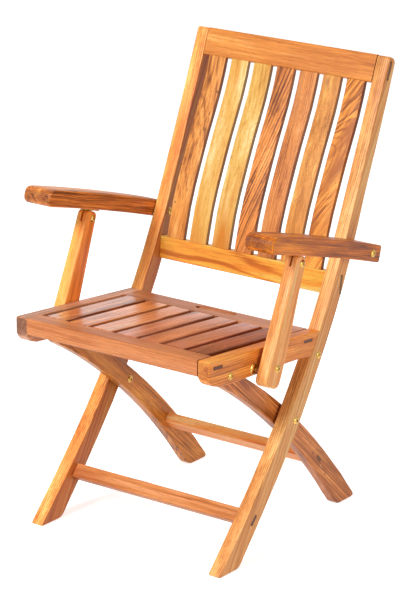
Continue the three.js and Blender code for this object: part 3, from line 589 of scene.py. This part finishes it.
legWay = (0, -0.74, 0.67)
armWay = (0, -0.96, 0.28)
darkBoard = {
    "streaks": 0.8, "ring": 0.004,
    "tones": ("#5c3018", "#8e5230", "#ad6a42", "#c98a60", "#74401f")}
darkBoards = {
    "rear_leg_left": {
        "grain": legWay, "pith": 0.07, "around": 60,
        "tones": ("#6d3511", "#a65a22", "#c87335", "#e99650", "#874818")},
    "rear_leg_right": {
        "grain": legWay, "pith": 0.09, "around": 110,
        "tones": ("#794013", "#ba6b25", "#e08936", "#fdb04e", "#98541a")},
    "armrest_left": {
        "grain": armWay, "pith": 0.12, "around": 85, "ring": 0.0035, "endTone": 0.5, "endStain": "#4c2110",
        "tones": ("#713106", "#ac5508", "#d16d10", "#f28e1b", "#8d4206")},
    "armrest_right": {
        "grain": armWay, "pith": 0.1, "around": 100, "ring": 0.0035, "wander": 0.02,
        "endTone": 0.5, "endStain": "#4c2113",
        "tones": ("#7a3e13", "#b96528", "#e18138", "#ffab51", "#985019")},
    "seat_rest_left": {},
    "seat_rest_right": {},
}

dress(crossBoards, crossBoard)
dress(posts, post)
dress(backSlats, backSlat)
dress(supports, support)
dress(sideRails, sideRail)
dress(seatSlats, seatSlat)
dress(darkBoards, darkBoard)
print("boards dressed")


# Brass, clouded as it dulls: bolts, washers and brackets

brass = {
    "bright": "#dfb564",
    "dull": "#835a22",
    "shift": (0.3, 0.62),        # where the cloud turns from dull to bright
    "cloud": {"scale": 260.0, "detail": 4.0, "roughness": 0.6},
    "cloudSpan": (0.3, 0.7),     # and from rough to smooth
    "roughness": 0.18,
    "roughSwing": (0.12, -0.06),
    "relief": {"strength": 0.15, "depth": 0.0002},
}


def makeBrass():
    material, tree = freshMaterial("brassDulled")
    place = addNode(tree, "ShaderNodeTexCoord").outputs["Object"]
    cloud = addNoise(tree, place, **brass["cloud"])["Fac"]
    tint = addRamp(tree, cloud, list(zip(brass["shift"], (colour(brass["dull"]), colour(brass["bright"])))))
    dullRough, brightRough = brass["roughSwing"]
    rough = spread(tree, cloud, *brass["cloudSpan"],
                   brass["roughness"] + dullRough, brass["roughness"] + brightRough)
    bump = addNode(tree, "ShaderNodeBump", {
        "Height": cloud, "Strength": brass["relief"]["strength"], "Distance": brass["relief"]["depth"]})
    skin = addNode(tree, "ShaderNodeBsdfPrincipled", {
        "Base Color": tint, "Roughness": rough, "Normal": bump.outputs[0], "Metallic": 1.0})
    addNode(tree, "ShaderNodeOutputMaterial", {"Surface": skin.outputs[0]})
    return material


brassFinish = makeBrass()
for name, piece in nodes.items():
    if slotOf[name] == "brass":
        giveMaterial(piece, brassFinish)
        softenEdges(piece, edges["brassRound"])


# Bolts with domed heads and a six-sided socket, in place of the plain ones

bolt = {
    "shank": 0.004,
    "shankSides": 24,
    "head": 0.008,
    "headSides": 30,
    "headInset": 0.0002,         # the rim stands this much inside the CAD's
    "headHeight": 0.0034,
    "rimShare": 0.12,            # how much of the height is the upright rim
    "dome": ((0.9, 0.34), (0.74, 0.3), (0.5, 0.22), (0.22, 0.14)),  # each ring's radius and rise, in shares
    "socket": 0.003,
    "socketDepth": 0.002,
    "smoothAngle": 35,
    "arrisAngle": 50,
    "arris": 0.00015,
    "arrisSteps": 2,
    "heads": {                   # where each pair has its heads: outside, inside
        "leg_bolt": (True, True),
        "seat_bolt": (True, True),
        "rest_pin": (True, False),
        "arm_bolt": (True, True),
        "support_top_bolt": (True, True),
        "support_foot_bolt": (True, False),
        "seat_foot_bolt": (False, True),
    },
}


def selectTop(piece):
    bpy.ops.object.mode_set(mode="EDIT")
    bpy.ops.mesh.select_all(action="DESELECT")
    bpy.ops.object.mode_set(mode="OBJECT")
    for face in piece.data.polygons:
        face.select = face.normal.z > 0.9
    bpy.ops.object.mode_set(mode="EDIT")
    bpy.ops.mesh.select_mode(type="FACE")


def makeHead():
    rim = bolt["headHeight"] * bolt["rimShare"]
    bpy.ops.object.select_all(action="DESELECT")
    bpy.ops.mesh.primitive_cylinder_add(
        vertices=bolt["headSides"], radius=bolt["head"] - bolt["headInset"], depth=rim,
        location=(0, 0, rim / 2))
    head = bpy.context.active_object
    selectTop(head)
    before = 1.0
    for wide, rise in bolt["dome"]:
        lift = (bolt["headHeight"] - rim) * rise
        bpy.ops.mesh.extrude_region_move(TRANSFORM_OT_translate={"value": (0, 0, lift)})
        bpy.ops.transform.resize(value=(wide / before, wide / before, 1))
        before = wide
    bpy.ops.object.mode_set(mode="OBJECT")
    bpy.ops.mesh.primitive_cylinder_add(vertices=6, radius=bolt["socket"], depth=bolt["socketDepth"] * 2,
                                        location=(0, 0, bolt["headHeight"]))
    socket = bpy.context.active_object
    cut = head.modifiers.new("socket", "BOOLEAN")
    cut.operation = "DIFFERENCE"
    cut.solver = "EXACT"
    cut.object = socket
    bpy.context.view_layer.objects.active = head
    bpy.ops.object.modifier_apply(modifier="socket")
    bpy.data.objects.remove(socket)
    return head


def copyHead(place, way, wide=1.0):  # the dome looks along way, 1 for +X and -1 for -X
    copy = headShape.copy()
    copy.data = headShape.data.copy()
    bpy.context.collection.objects.link(copy)
    copy.scale = (wide, wide, 1)
    copy.rotation_euler = (0, way * math.pi / 2, 0)
    copy.location = place
    return copy


def finishBrass(piece):  # the piece is selected and active
    bpy.ops.object.transform_apply(location=True, rotation=True, scale=True)
    bpy.ops.object.shade_smooth_by_angle(angle=math.radians(bolt["smoothAngle"]))
    giveMaterial(piece, brassFinish)


def makeBolt(kind, side):
    name = kind + "_" + side
    low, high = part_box(name)
    centre = (low + high) / 2
    outer, inner = (high.x, low.x) if side == "left" else (low.x, high.x)
    outwards = 1 if side == "left" else -1
    hasOuter, hasInner = bolt["heads"][kind]
    ends = []
    heads = []
    for hasHead, end, way in ((hasOuter, outer, outwards), (hasInner, inner, -outwards)):
        if hasHead:
            end -= way * bolt["headHeight"]
            heads.append(copyHead((end, centre.y, centre.z), way))
        ends.append(end)
    bpy.ops.object.select_all(action="DESELECT")
    bpy.ops.mesh.primitive_cylinder_add(
        vertices=bolt["shankSides"], radius=bolt["shank"], depth=abs(ends[0] - ends[1]),
        rotation=(0, math.pi / 2, 0), location=(sum(ends) / 2, centre.y, centre.z))
    piece = bpy.context.active_object
    piece.name = "turned_" + name
    for head in heads:
        head.select_set(True)
    bpy.ops.object.join()
    finishBrass(piece)
    bevel = piece.modifiers.new("arris", "BEVEL")
    bevel.limit_method = "ANGLE"
    bevel.angle_limit = math.radians(bolt["arrisAngle"])
    bevel.width = bolt["arris"]
    bevel.segments = bolt["arrisSteps"]
    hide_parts(name)
    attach(piece, bodyOf[name])


headShape = makeHead()
for kind in bolt["heads"]:
    for side in ("left", "right"):
        makeBolt(kind, side)


# A wide brass head on each side rail, half hidden behind the arm support's foot

railHead = {"radius": 0.0112, "place": (-0.1625, 0.3875)}  # place: along the rail and up


def makeRailHead(side):
    low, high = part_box("seat_side_rail_" + side)
    face, way = (high.x, 1) if side == "left" else (low.x, -1)
    bpy.ops.object.select_all(action="DESELECT")
    piece = copyHead((face, *railHead["place"]), way, railHead["radius"] / bolt["head"])
    piece.name = "rail_head_" + side
    bpy.context.view_layer.objects.active = piece
    piece.select_set(True)
    finishBrass(piece)
    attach(piece, "seat_frame")


for side in ("left", "right"):
    makeRailHead(side)
bpy.data.objects.remove(headShape)
print("fittings dressed")
